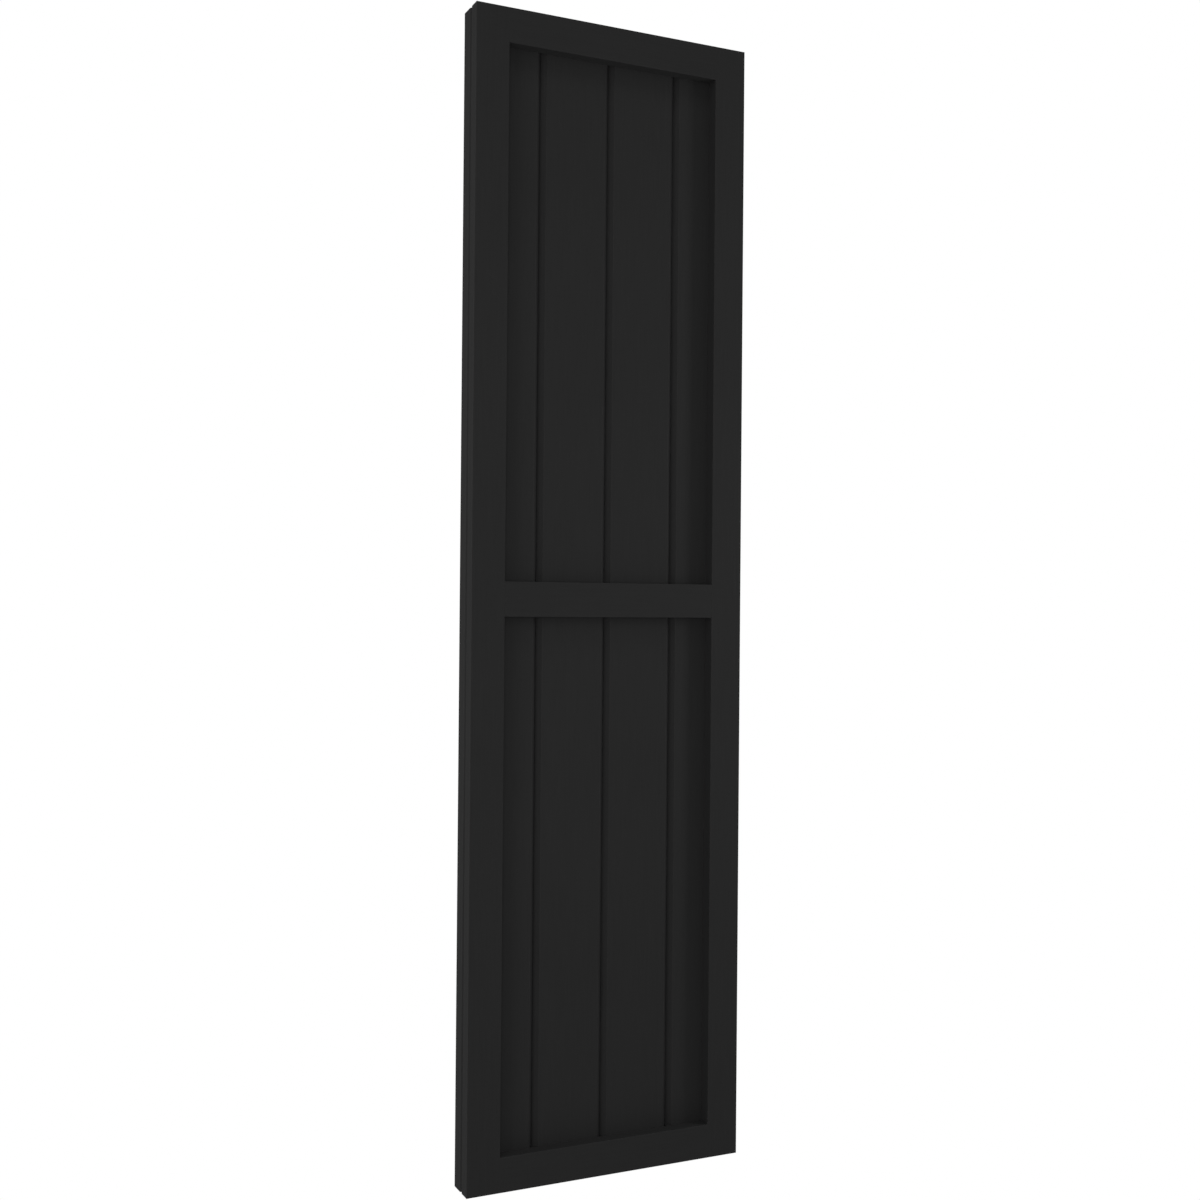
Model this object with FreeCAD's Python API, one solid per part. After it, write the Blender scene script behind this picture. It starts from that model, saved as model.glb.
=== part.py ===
import FreeCAD, Part
import os

# A framed board and batten window shutter that is fixed flat on a wall. Upright boards with chamfered
# edges lie side by side in the back layer. A frame of two stiles and three rails lies on them in front.
# Millimetres. +X is to the right seen from the front, +Z is up, and the wall is the plane Y = 0, so the
# front faces -Y. The origin is the centre of the back face.

# Driving dimensions
shutter_height = 1066.8
board_width = 69.05
board_thickness = 19.05
board_edge_chamfer = 4.76
stile_width = 31.75
end_rail_width = 31.75
middle_rail_width = 31.75
frame_thickness = 12.7

# The boards, from left to right. All are alike, and they run the full height.
board_names = ["left_outer_board", "left_inner_board", "right_inner_board", "right_outer_board"]

# Places that follow from the sizes
shutter_width = board_width * len(board_names)
left_edge = -shutter_width / 2
right_edge = shutter_width / 2
foot = -shutter_height / 2
head = shutter_height / 2
board_face = -board_thickness
frame_face = board_face - frame_thickness


def upright_board(left):
    """A board whose left edge is at X = left, with both long front edges chamfered."""
    right = left + board_width
    chamfer_back = board_face + board_edge_chamfer
    section = [
        (left, 0),
        (right, 0),
        (right, chamfer_back),
        (right - board_edge_chamfer, board_face),
        (left + board_edge_chamfer, board_face),
        (left, chamfer_back),
    ]
    corners = [FreeCAD.Vector(x, y, foot) for x, y in section]
    outline = Part.makePolygon(corners + corners[:1])
    return Part.Face(outline).extrude(FreeCAD.Vector(0, 0, shutter_height))


def frame_strip(left, right, bottom, top):
    """A square-edged strip of the frame, lying on the boards."""
    corner = FreeCAD.Vector(left, frame_face, bottom)
    return Part.makeBox(right - left, frame_thickness, top - bottom, corner)


def rail(bottom, width):
    """A level strip that butts between the two stiles."""
    return frame_strip(left_edge + stile_width, right_edge - stile_width, bottom, bottom + width)


pieces = {
    name: upright_board(left_edge + place * board_width)
    for place, name in enumerate(board_names)
}

# The stiles are flush with the outer edges of the boards, and run the full height.
pieces["left_stile"] = frame_strip(left_edge, left_edge + stile_width, foot, head)
pieces["right_stile"] = frame_strip(right_edge - stile_width, right_edge, foot, head)

# The end rails are flush with the ends of the boards. The middle rail is at half the height.
pieces["top_rail"] = rail(head - end_rail_width, end_rail_width)
pieces["middle_rail"] = rail(-middle_rail_width / 2, middle_rail_width)
pieces["bottom_rail"] = rail(foot, end_rail_width)

os.makedirs("parts", exist_ok=True)
for name, shape in pieces.items():
    shape.exportStep(os.path.join("parts", name + ".step"))
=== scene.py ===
import math

import bmesh
import bpy
from mathutils import Matrix, Vector


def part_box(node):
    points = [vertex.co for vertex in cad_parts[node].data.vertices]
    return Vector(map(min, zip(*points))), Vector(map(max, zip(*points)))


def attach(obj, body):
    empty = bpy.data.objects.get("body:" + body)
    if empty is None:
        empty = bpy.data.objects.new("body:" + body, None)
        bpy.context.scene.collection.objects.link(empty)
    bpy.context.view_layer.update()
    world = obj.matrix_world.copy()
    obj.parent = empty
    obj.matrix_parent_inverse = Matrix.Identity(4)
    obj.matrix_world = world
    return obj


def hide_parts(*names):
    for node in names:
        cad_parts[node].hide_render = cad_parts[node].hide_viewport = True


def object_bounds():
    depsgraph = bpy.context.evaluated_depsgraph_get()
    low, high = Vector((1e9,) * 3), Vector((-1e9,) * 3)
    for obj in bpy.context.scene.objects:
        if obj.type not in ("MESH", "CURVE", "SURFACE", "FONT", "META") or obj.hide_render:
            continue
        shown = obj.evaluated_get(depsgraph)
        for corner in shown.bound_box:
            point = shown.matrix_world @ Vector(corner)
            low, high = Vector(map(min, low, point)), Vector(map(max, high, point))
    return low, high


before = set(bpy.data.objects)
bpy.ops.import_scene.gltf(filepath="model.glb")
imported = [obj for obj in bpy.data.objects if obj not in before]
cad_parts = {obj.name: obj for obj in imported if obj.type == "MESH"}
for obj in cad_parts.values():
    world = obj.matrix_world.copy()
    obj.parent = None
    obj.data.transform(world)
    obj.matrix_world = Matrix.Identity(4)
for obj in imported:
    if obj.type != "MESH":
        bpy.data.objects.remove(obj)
cad_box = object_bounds()

# The boards. Planed boards of foamed plastic stand side by side and make the back of the shutter.
# Both long front edges of each are chamfered, so that a V runs down every joint, and the boards are
# glued edge to edge. Behind, the joints' edges are eased. Flat black paint is sprayed on every face.
board_nodes = ["left_outer_board", "left_inner_board", "right_inner_board", "right_outer_board"]
board_run = "Z"
board_thick_film = (0.0120, 0.0120, 0.0120, 1)
board_thin_film = (0.0240, 0.0240, 0.0240, 1)
board_roughness = 0.88
board_back_ease = 0.0012
arris = 0.0003
slack = 0.00001


def bare_solid(node):
    """The node's solid as a shape to work on, with each flat face in one piece."""
    shape = bmesh.new()
    shape.from_mesh(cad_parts[node].data)
    bmesh.ops.remove_doubles(shape, verts=shape.verts, dist=slack)
    flat = math.radians(1)
    bmesh.ops.dissolve_limit(shape, angle_limit=flat, verts=shape.verts, edges=shape.edges)
    shape.faces.layers.float.new("sanded_highlight")
    return shape


def round_over(shape, edges, radius):
    """Rounds the edges over and marks the roundings, which the paint makes paler partly for their thin film
    and partly as a painted highlight.
    """
    rounded = bmesh.ops.bevel(
        shape,
        geom=edges,
        offset=radius,
        segments=3,
        profile=0.5,
        affect="EDGES",
    )
    sanded_highlight = shape.faces.layers.float["sanded_highlight"]
    for face in rounded["faces"]:
        face[sanded_highlight] = 1.0
        face.smooth = True


def sharp_edges(shape):
    """The edges that bend more than the facets of a rounding do."""
    facet_bend = math.radians(40)
    return [edge for edge in shape.edges if edge.calc_face_angle() > facet_bend]


def back_joint_edges(shape):
    """The upright back edges of a board that lie against the next board."""
    side, back = cad_box[1].x, cad_box[1].y

    def at_a_joint(edge):
        first, second = edge.verts[0].co, edge.verts[1].co
        upright = abs(first.x - second.x) < slack and abs(first.y - second.y) < slack
        return upright and abs(first.y - back) < slack and abs(first.x) < side - slack

    return [edge for edge in shape.edges if at_a_joint(edge)]


def finished_piece(shape, node, paint):
    """The worked shape as a painted object."""
    mesh = bpy.data.meshes.new("painted_" + node)
    shape.to_mesh(mesh)
    shape.free()
    mesh.materials.append(paint)
    piece = bpy.data.objects.new(mesh.name, mesh)
    bpy.context.scene.collection.objects.link(piece)
    return piece


class Socket:
    """An output socket of a node, so that shader maths reads as arithmetic."""

    def __init__(self, tree, output):
        self.tree = tree
        self.output = output

    def node(self, kind, settings, sockets, output=0):
        """Adds a node: its settings first, then the value or the link of each socket."""
        made = self.tree.nodes.new(kind)
        for name, value in settings.items():
            setattr(made, name, value)
        for name, value in sockets.items():
            if isinstance(value, Socket):
                self.tree.links.new(value.output, made.inputs[name])
            else:
                made.inputs[name].default_value = value
        if made.outputs:
            return Socket(self.tree, made.outputs[output])

    def math(self, operation, first, second):
        return self.node("ShaderNodeMath", {"operation": operation}, {0: first, 1: second})

    def __add__(self, other):
        return self.math("ADD", self, other)

    def __radd__(self, other):
        return self.math("ADD", other, self)

    def __sub__(self, other):
        return self.math("SUBTRACT", self, other)

    def __rsub__(self, other):
        return self.math("SUBTRACT", other, self)

    def __mul__(self, other):
        return self.math("MULTIPLY", self, other)

    def __rmul__(self, other):
        return self.math("MULTIPLY", other, self)


def black_paint(name, run, thick_film, thin_film, roughness):
    """Flat black paint on a planed plastic profile that runs along X or Z."""
    gloss = 0.03
    relief = 0.00004
    line_stretch = 0.02
    saw_stretch = 0.04
    end_slope = 0.7
    material = bpy.data.materials.new(name)
    material.use_nodes = True
    tree = material.node_tree
    tree.nodes.clear()
    coordinates = tree.nodes.new("ShaderNodeTexCoord")
    place = Socket(tree, coordinates.outputs["Object"])
    facing = Socket(tree, coordinates.outputs["Normal"])

    def noise(vector, scale, detail):
        sockets = {"Vector": vector, "Scale": scale, "Detail": detail}
        return place.node("ShaderNodeTexNoise", {}, sockets)

    def drawn_out(stretch):
        return place.node("ShaderNodeVectorMath", {"operation": "MULTIPLY"}, {0: place, 1: stretch})

    # The spray leaves a stipple, planing leaves lines along the profile, and the film's depth drifts.
    along = drawn_out({"X": (line_stretch, 1, 1), "Z": (1, 1, line_stretch)}[run])
    stipple = noise(place, scale=2000, detail=3)
    lines = noise(along, scale=1300, detail=3)
    drift = noise(place, scale=7, detail=3)

    # The film is thin on the sanded arrises, which are painted paler partly for that and partly as a
    # painted highlight. On the cut ends it sinks into saw marks and open cells.
    sanded_highlight = place.node("ShaderNodeAttribute", {"attribute_name": "sanded_highlight"}, {}, "Fac")
    end_facing = place.node("ShaderNodeSeparateXYZ", {}, {"Vector": facing}, run)
    cut = place.math("GREATER_THAN", place.math("ABSOLUTE", end_facing, 0), end_slope)
    saw_marks = noise(drawn_out((1, saw_stretch, 1)), scale=900, detail=2)
    open_cells = noise(place, scale=2600, detail=2)
    sawn = 0.5 * saw_marks + 0.5 * open_cells

    # The thinner the film, the paler it is. The paler arrises are partly thin film and partly a painted
    # highlight.
    # A colour Mix node has its factor at input 0, its two colours at inputs 6 and 7, and the mixed colour
    # at output 2.
    thinness = 0.40 * stipple + 0.35 * lines + 0.25 * drift + 0.2 * sanded_highlight + cut * (sawn - 0.75)
    colour = place.node(
        "ShaderNodeMix", {"data_type": "RGBA"}, {0: thinness, 6: thick_film, 7: thin_film}, 2
    )

    # The paint stands up by its stipple and lines, and most of all by the saw marks on the cut ends.
    height = 0.5 * stipple + 0.35 * lines + 2.0 * cut * sawn
    bump = place.node("ShaderNodeBump", {}, {"Height": height, "Strength": 1.0, "Distance": relief})
    shader = place.node(
        "ShaderNodeBsdfPrincipled",
        {},
        {
            "Base Color": colour,
            "Roughness": roughness + 0.1 * (drift - 0.5) + 0.1 * (stipple - 0.5) - 0.15 * sanded_highlight,
            "Specular IOR Level": gloss,
            "Normal": bump,
        },
    )
    place.node("ShaderNodeOutputMaterial", {}, {"Surface": shader})
    return material


board_paint = black_paint(
    "flat_black_boards", board_run, board_thick_film, board_thin_film, board_roughness
)
for node in board_nodes:
    shape = bare_solid(node)
    round_over(shape, back_joint_edges(shape), board_back_ease)
    round_over(shape, sharp_edges(shape), arris)
    board = finished_piece(shape, node, board_paint)
    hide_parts(node)
    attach(board, "root")

# The stiles. Two square-edged strips of the same plastic are glued on the boards, flush with the
# shutter's sides from head to foot. Where the end rails meet them the joint is filled and sanded flat.
stile_nodes = ["left_stile", "right_stile"]
end_rail_nodes = ["top_rail", "bottom_rail"]
stile_run = "Z"
stile_thick_film = (0.0120, 0.0120, 0.0120, 1)
stile_thin_film = (0.0240, 0.0240, 0.0240, 1)
stile_roughness = 0.88
stile_paint = black_paint(
    "flat_black_stiles", stile_run, stile_thick_film, stile_thin_film, stile_roughness
)


def edges_to_sand(shape, neighbours):
    """The sharp edges of a strip that aren't filled and smoothed flat with a neighbour."""
    boxes = [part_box(name) for name in neighbours]
    for level in sorted({corner.z for box in boxes for corner in box}):
        bmesh.ops.bisect_plane(
            shape,
            geom=shape.verts[:] + shape.edges[:] + shape.faces[:],
            dist=slack,
            plane_co=(0, 0, level),
            plane_no=(0, 0, 1),
        )

    def filled(edge):
        return any(
            all(low[i] - slack <= end.co[i] <= high[i] + slack for end in edge.verts for i in range(3))
            for low, high in boxes
        )

    return [edge for edge in sharp_edges(shape) if not filled(edge)]


for node in stile_nodes:
    shape = bare_solid(node)
    round_over(shape, edges_to_sand(shape, end_rail_nodes), arris)
    stile = finished_piece(shape, node, stile_paint)
    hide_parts(node)
    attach(stile, "root")

# The rails. Three strips of the same section butt between the stiles and are glued on the boards.
# The joints of the top and bottom rails are filled, and those of the middle rail show as hairlines.
rail_run = "X"
rail_thick_film = (0.0120, 0.0120, 0.0120, 1)
rail_thin_film = (0.0240, 0.0240, 0.0240, 1)
rail_roughness = 0.88
rail_paint = black_paint("flat_black_rails", rail_run, rail_thick_film, rail_thin_film, rail_roughness)
filled_against = {"top_rail": stile_nodes, "bottom_rail": stile_nodes, "middle_rail": []}
for node, neighbours in filled_against.items():
    shape = bare_solid(node)
    round_over(shape, edges_to_sand(shape, neighbours), arris)
    rail = finished_piece(shape, node, rail_paint)
    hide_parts(node)
    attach(rail, "root")

# The floor. A pale round of smooth board lies under the shutter, as far down as the ground is from one
# that hangs beside a window, and fades out towards its rim. To the eye it is nearly white.
hang_height = 0.9
floor_radius = 2.0
floor_fade_start = 0.6
floor_colour = (0.85, 0.85, 0.85, 1)
floor_paleness = 0.6
floor_shape = bmesh.new()
bmesh.ops.create_circle(floor_shape, cap_ends=True, segments=96, radius=floor_radius)
floor_mesh = bpy.data.meshes.new("floor")
floor_shape.to_mesh(floor_mesh)
floor_shape.free()
floor = bpy.data.objects.new("floor", floor_mesh)
floor.location = (0, 0, cad_box[0].z - hang_height)
bpy.context.scene.collection.objects.link(floor)


def seen_rays(tree):
    """One for rays from the eye, a mirror or glass, and nought for the rays that only carry light."""
    path = tree.nodes.new("ShaderNodeLightPath")
    eye, mirror, glass = [
        Socket(tree, path.outputs[name])
        for name in ("Is Camera Ray", "Is Glossy Ray", "Is Transmission Ray")
    ]
    return eye.math("MAXIMUM", eye, eye.math("MAXIMUM", mirror, glass))


floor_material = bpy.data.materials.new("pale_floor")
floor_material.use_nodes = True
floor_tree = floor_material.node_tree
floor_tree.nodes.clear()
spot = Socket(floor_tree, floor_tree.nodes.new("ShaderNodeTexCoord").outputs["Object"])
from_middle = spot.node("ShaderNodeVectorMath", {"operation": "LENGTH"}, {0: spot}, "Value")
fade = spot.node(
    "ShaderNodeMapRange",
    {"interpolation_type": "SMOOTHSTEP"},
    {"Value": from_middle, "From Min": floor_fade_start, "From Max": floor_radius},
)
matt = spot.node("ShaderNodeBsdfDiffuse", {}, {"Color": floor_colour})
white = spot.node("ShaderNodeEmission", {}, {"Color": (1, 1, 1, 1), "Strength": 1.0})
whitened = floor_paleness * seen_rays(floor_tree)
pale = spot.node("ShaderNodeMixShader", {}, {0: whitened, 1: matt, 2: white})
clear = spot.node("ShaderNodeBsdfTransparent", {}, {})
floor_surface = spot.node("ShaderNodeMixShader", {}, {0: fade, 1: pale, 2: clear})
spot.node("ShaderNodeOutputMaterial", {}, {"Surface": floor_surface})
floor_mesh.materials.append(floor_material)

# The light. White surrounds give an even glow, and are white to the eye and in reflections. Soft boxes
# stand round the shutter at about half its height, from the right to the left. Two more hang above it,
# one in front and one behind.
surround_level = 0.35
world = bpy.data.worlds.new("white_surround")
bpy.context.scene.world = world
world.use_nodes = True
world.node_tree.nodes.clear()
seen = seen_rays(world.node_tree)
glow = seen.node("ShaderNodeBackground", {}, {"Color": (1, 1, 1, 1), "Strength": surround_level})
backdrop = seen.node("ShaderNodeBackground", {}, {"Color": (1, 1, 1, 1), "Strength": 1.0})
surround = seen.node("ShaderNodeMixShader", {}, {0: seen, 1: glow, 2: backdrop})
seen.node("ShaderNodeOutputWorld", {}, {"Surface": surround})


def soft_box(where, degrees_round, rise, distance, width, height, power):
    """A soft box that faces the shutter, so many degrees round from its front, to the right if positive."""
    name = where + "_soft_box"
    lamp = bpy.data.lights.new(name, "AREA")
    lamp.shape = "RECTANGLE"
    lamp.size = width
    lamp.size_y = height
    lamp.energy = power
    box = bpy.data.objects.new(name, lamp)
    round_angle = math.radians(degrees_round)
    box.location = (distance * math.sin(round_angle), -distance * math.cos(round_angle), rise)
    box.rotation_euler = (-box.location).to_track_quat("-Z", "Y").to_euler()
    bpy.context.scene.collection.objects.link(box)


soft_box("right_side", degrees_round=102, rise=0.1, distance=1.6, width=0.6, height=0.9, power=11.2)
soft_box("right", degrees_round=60, rise=0.1, distance=1.0, width=0.2, height=0.5, power=4.6)
soft_box("front", degrees_round=-25, rise=0.0, distance=1.4, width=0.35, height=0.35, power=5.5)
soft_box("left", degrees_round=-60, rise=0.1, distance=1.6, width=0.6, height=1.8, power=7.9)
soft_box("left_side", degrees_round=-100, rise=0.1, distance=1.6, width=0.6, height=0.9, power=11.4)
soft_box("front_upper", degrees_round=-25, rise=1.6, distance=0.8, width=0.5, height=0.5, power=4.3)
soft_box("behind_upper", degrees_round=150, rise=1.5, distance=1.3, width=0.8, height=0.8, power=40.0)

# The camera. It stands to the left at half the height, very slightly tilted, as the photograph was taken.
# The offset is the middle of the shutter's front from the lens: to the right, up, and behind if positive.
camera_round = math.radians(24.97)
camera_tilt = math.radians(90.263)
camera_lean = math.radians(0.475)
front_from_lens = Vector((0.01087, -0.00017, -1.36660))
camera_data = bpy.data.cameras.new("camera")
camera_data.sensor_width = 36.0
camera_data.lens = 44.1
camera = bpy.data.objects.new("camera", camera_data)
turn = (
    Matrix.Rotation(-camera_round, 4, "Z")
    @ Matrix.Rotation(camera_tilt, 4, "X")
    @ Matrix.Rotation(camera_lean, 4, "Z")
)
front_middle = Vector((0, cad_box[0].y, 0))
camera.matrix_world = Matrix.Translation(front_middle - turn @ front_from_lens) @ turn
bpy.context.scene.collection.objects.link(camera)
bpy.context.scene.camera = camera
bpy.context.scene.view_settings.view_transform = "Standard"
